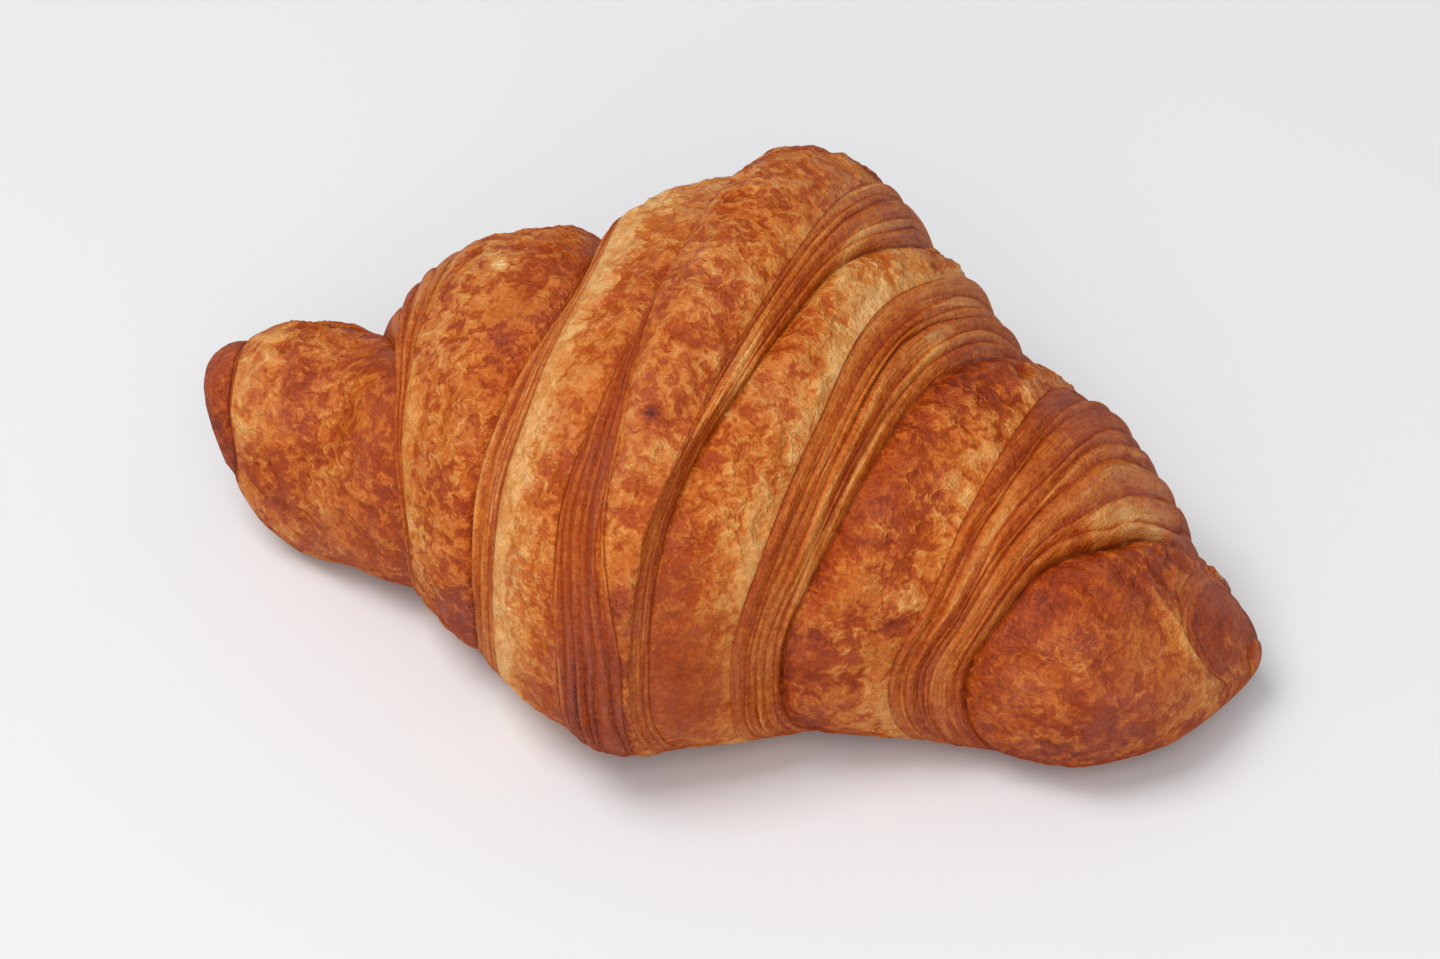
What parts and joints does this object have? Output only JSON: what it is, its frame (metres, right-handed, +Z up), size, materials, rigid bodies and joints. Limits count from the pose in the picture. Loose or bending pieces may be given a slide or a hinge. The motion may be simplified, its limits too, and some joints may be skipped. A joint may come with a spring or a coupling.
{
  "type": "croissant",
  "caption": "Baked butter croissant: a plump straight roll with blunt horns, wrapped in overlapping folds whose layered edges show as fine ridges.",
  "frame": {"origin": "bottom centre of the bounding box, on the surface that the croissant rests on", "axes": "+X along the roll towards its right horn as seen from the front, -Y to the front, +Z up"},
  "size_m": [0.16, 0.0992, 0.0683],
  "materials": {
    "crust": null
  },
  "bodies": {
    "root": {"croissant": "crust"}
  },
  "joints": []
}
